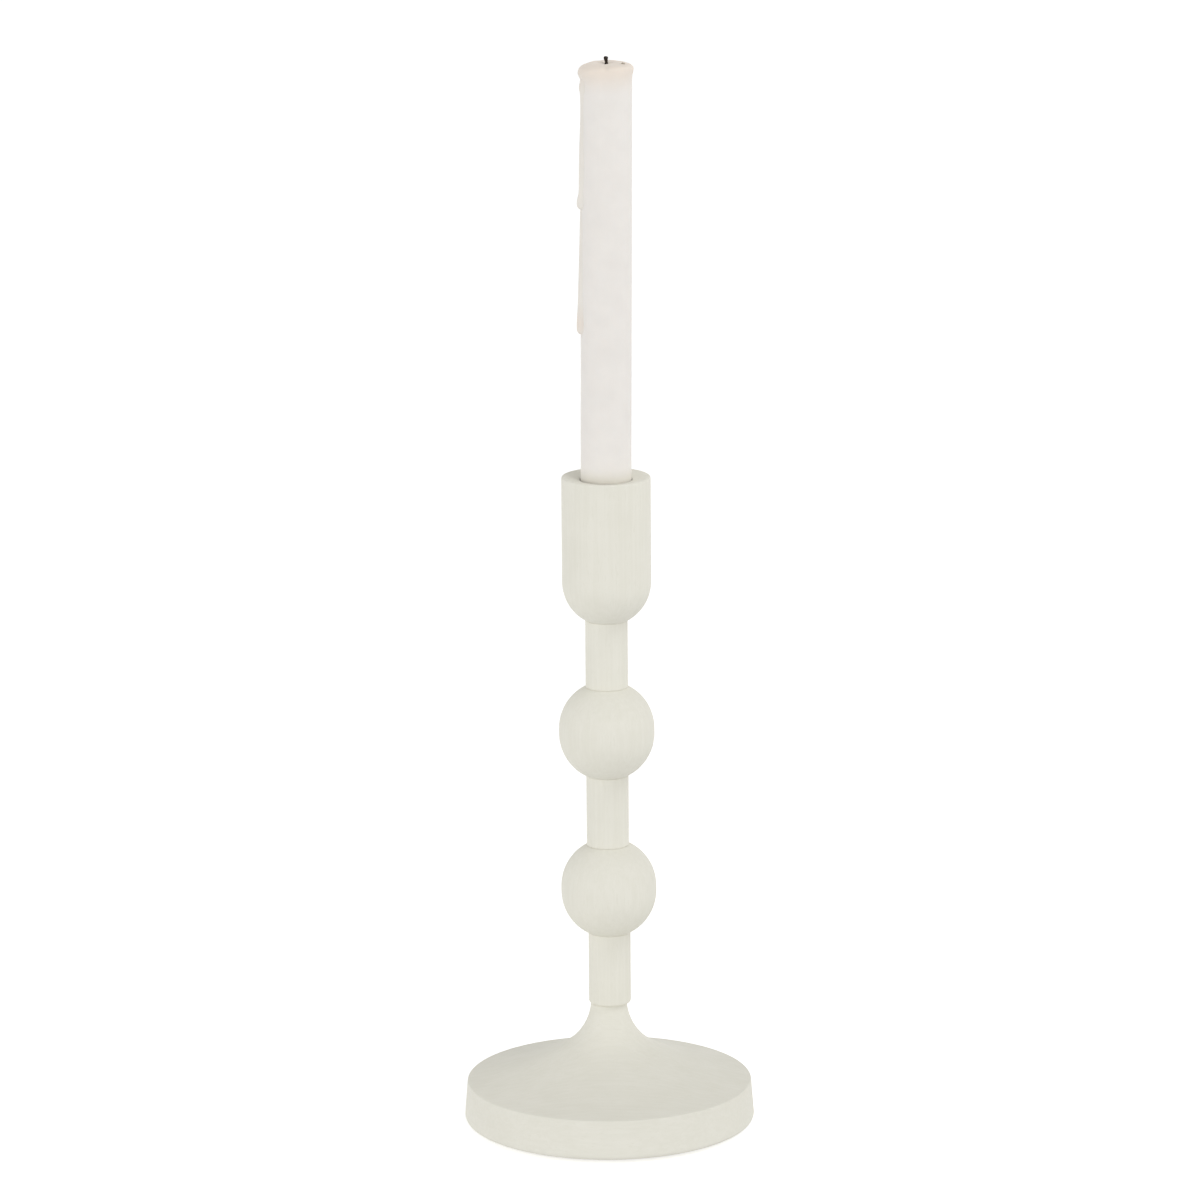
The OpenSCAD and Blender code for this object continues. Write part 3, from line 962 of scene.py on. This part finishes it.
class SetStage(bpy.types.Operator):
    """Set the camera, the pale floor and the soft studio light"""

    bl_idname = "candlestick.set_stage"
    bl_label = "Camera, floor and lights"

    # the candlestick's middle, which the lamps face
    AIM = Vector((0, 0, 0.25))

    def execute(self, context):
        stage = context.scene.candlestick_stage
        scene = context.scene
        self.camera(scene, stage)
        self.floor(scene, stage)
        self.light(scene, "key_light", stage.key, place=(0.75, -0.75, 2.2), size=0.7)
        self.light(scene, "side_light", stage.side, place=(1.5, -0.1, 1.6), size=0.8)
        self.light(scene, "fill_light", stage.fill, place=(-2.0, -0.6, 0.35), size=1.4)
        self.tent(scene, stage)
        scene.view_settings.view_transform = "Standard"
        return {"FINISHED"}

    def camera(self, scene, stage):
        """A long lens, a little above the candlestick and looking down on it."""
        data = bpy.data.cameras.new("camera")
        data.lens = stage.lens
        data.sensor_width = 36
        data.clip_start = 0.1
        data.clip_end = 50
        camera = bpy.data.objects.new("camera", data)
        scene.collection.objects.link(camera)
        camera.matrix_world = (
            Matrix.Translation(stage.eye)
            @ Matrix.Rotation(-stage.look_aside, 4, "Z")
            @ Matrix.Rotation(math.pi / 2 - stage.look_down, 4, "X")
            @ Matrix.Rotation(stage.roll, 4, "Z")
        )
        scene.camera = camera

    def floor(self, scene, stage):
        """A wide pale floor that the lamps and its own glow bring up to white."""
        bm = bmesh.new()
        bmesh.ops.create_grid(bm, x_segments=8, y_segments=8, size=9)
        mesh = bpy.data.meshes.new("floor")
        bm.to_mesh(mesh)
        bm.free()
        ground = bpy.data.objects.new("floor", mesh)
        scene.collection.objects.link(ground)
        material, tree, _ = new_finish("white_studio_floor")
        shader = add(tree, "ShaderNodeBsdfPrincipled", [
            ("Base Color", linear("F4F4F3")), ("Roughness", 0.9), ("Specular IOR Level", 0.1),
            ("Emission Color", linear("FFFFFF")), ("Emission Strength", stage.glow),
        ])
        add(tree, "ShaderNodeOutputMaterial", [("Surface", shader.outputs["BSDF"])])
        mesh.materials.append(material)
        # the tent's own foot lights the undersides, so the floor only has to look white
        ground.visible_diffuse = False

    def light(self, scene, name, watts, place, size):
        """A square softbox that faces the candlestick's middle."""
        data = bpy.data.lights.new(name, "AREA")
        data.energy = watts
        data.size = size
        lamp = bpy.data.objects.new(name, data)
        scene.collection.objects.link(lamp)
        lamp.location = place
        lamp.rotation_euler = (self.AIM - Vector(place)).to_track_quat("-Z", "Y").to_euler()

    def tent(self, scene, stage):
        """A light tent, brightest at the horizon and dimmer at its two sides, that looks plain white."""
        world = bpy.data.worlds.new("light_tent")
        world.use_nodes = True
        tree = world.node_tree
        tree.nodes.clear()
        way = add(tree, "ShaderNodeTexCoord").outputs["Generated"]
        parts = add(tree, "ShaderNodeSeparateXYZ", [("Vector", way)])
        level = add(tree, "ShaderNodeMapRange", [
            ("Value", parts.outputs["Z"]), ("From Min", -1.0),
        ]).outputs["Result"]
        walls = add(
            tree, "ShaderNodeValToRGB", [("Fac", level)],
            stops=[(0.0, stage.tent_foot), (0.5, stage.tent_wall), (1.0, stage.tent_top)],
        ).outputs["Color"]
        aside = add(tree, "ShaderNodeMath", [
            (0, parts.outputs["X"]), (1, parts.outputs["X"]),
        ], operation="MULTIPLY").outputs[0]
        dim = add(tree, "ShaderNodeMath", [
            (0, aside), (1, -stage.tent_side), (2, 1.0),
        ], operation="MULTIPLY_ADD").outputs[0]
        lit = add(tree, "ShaderNodeBackground", [("Color", walls), ("Strength", dim)])
        backdrop = add(tree, "ShaderNodeBackground", [("Color", linear("FFFFFF"))])
        seen = add(tree, "ShaderNodeLightPath").outputs["Is Camera Ray"]
        both = add(tree, "ShaderNodeMixShader", [
            (0, seen), (1, lit.outputs["Background"]), (2, backdrop.outputs["Background"]),
        ])
        add(tree, "ShaderNodeOutputWorld", [("Surface", both.outputs["Shader"])])
        scene.world = world


class CandlestickPanel(bpy.types.Panel):
    """Lists every piece of the candlestick, with its sizes and finishes"""

    bl_idname = "VIEW3D_PT_candlestick"
    bl_label = "Candlestick"
    bl_space_type = "VIEW_3D"
    bl_region_type = "UI"
    bl_category = "Candlestick"

    def draw(self, context):
        for group_name in SCENE_GROUPS:
            group = getattr(context.scene, group_name)
            box = self.layout.box()
            for name in group.__annotations__:
                box.prop(group, name)
        for piece in MAKING:
            self.layout.operator(piece.bl_idname)


MAKING = (
    SetStage, TurnBase, TurnSpindles, TurnBeads, TurnCup, DrawLiner, PlateHardware, CutFelt,
    PourCandle, RunWax, BraidWick, DropChar,
)
SCENE_GROUPS = {
    "candlestick_wood": CandlestickWood,
    "candlestick_candle": CandlestickCandle,
    "candlestick_colours": CandlestickColours,
    "candlestick_stage": CandlestickStage,
}
CLASSES = (*SCENE_GROUPS.values(), *MAKING, CandlestickPanel)


def register():
    for made in CLASSES:
        bpy.utils.register_class(made)
    for name, group in SCENE_GROUPS.items():
        setattr(bpy.types.Scene, name, PointerProperty(type=group))


def unregister():
    for name in SCENE_GROUPS:
        delattr(bpy.types.Scene, name)
    for made in reversed(CLASSES):
        bpy.utils.unregister_class(made)


def main():
    """Makes every piece in order."""
    register()
    for piece in MAKING:
        family, name = piece.bl_idname.split(".")
        getattr(getattr(bpy.ops, family), name)()


if __name__ == "__main__":
    main()
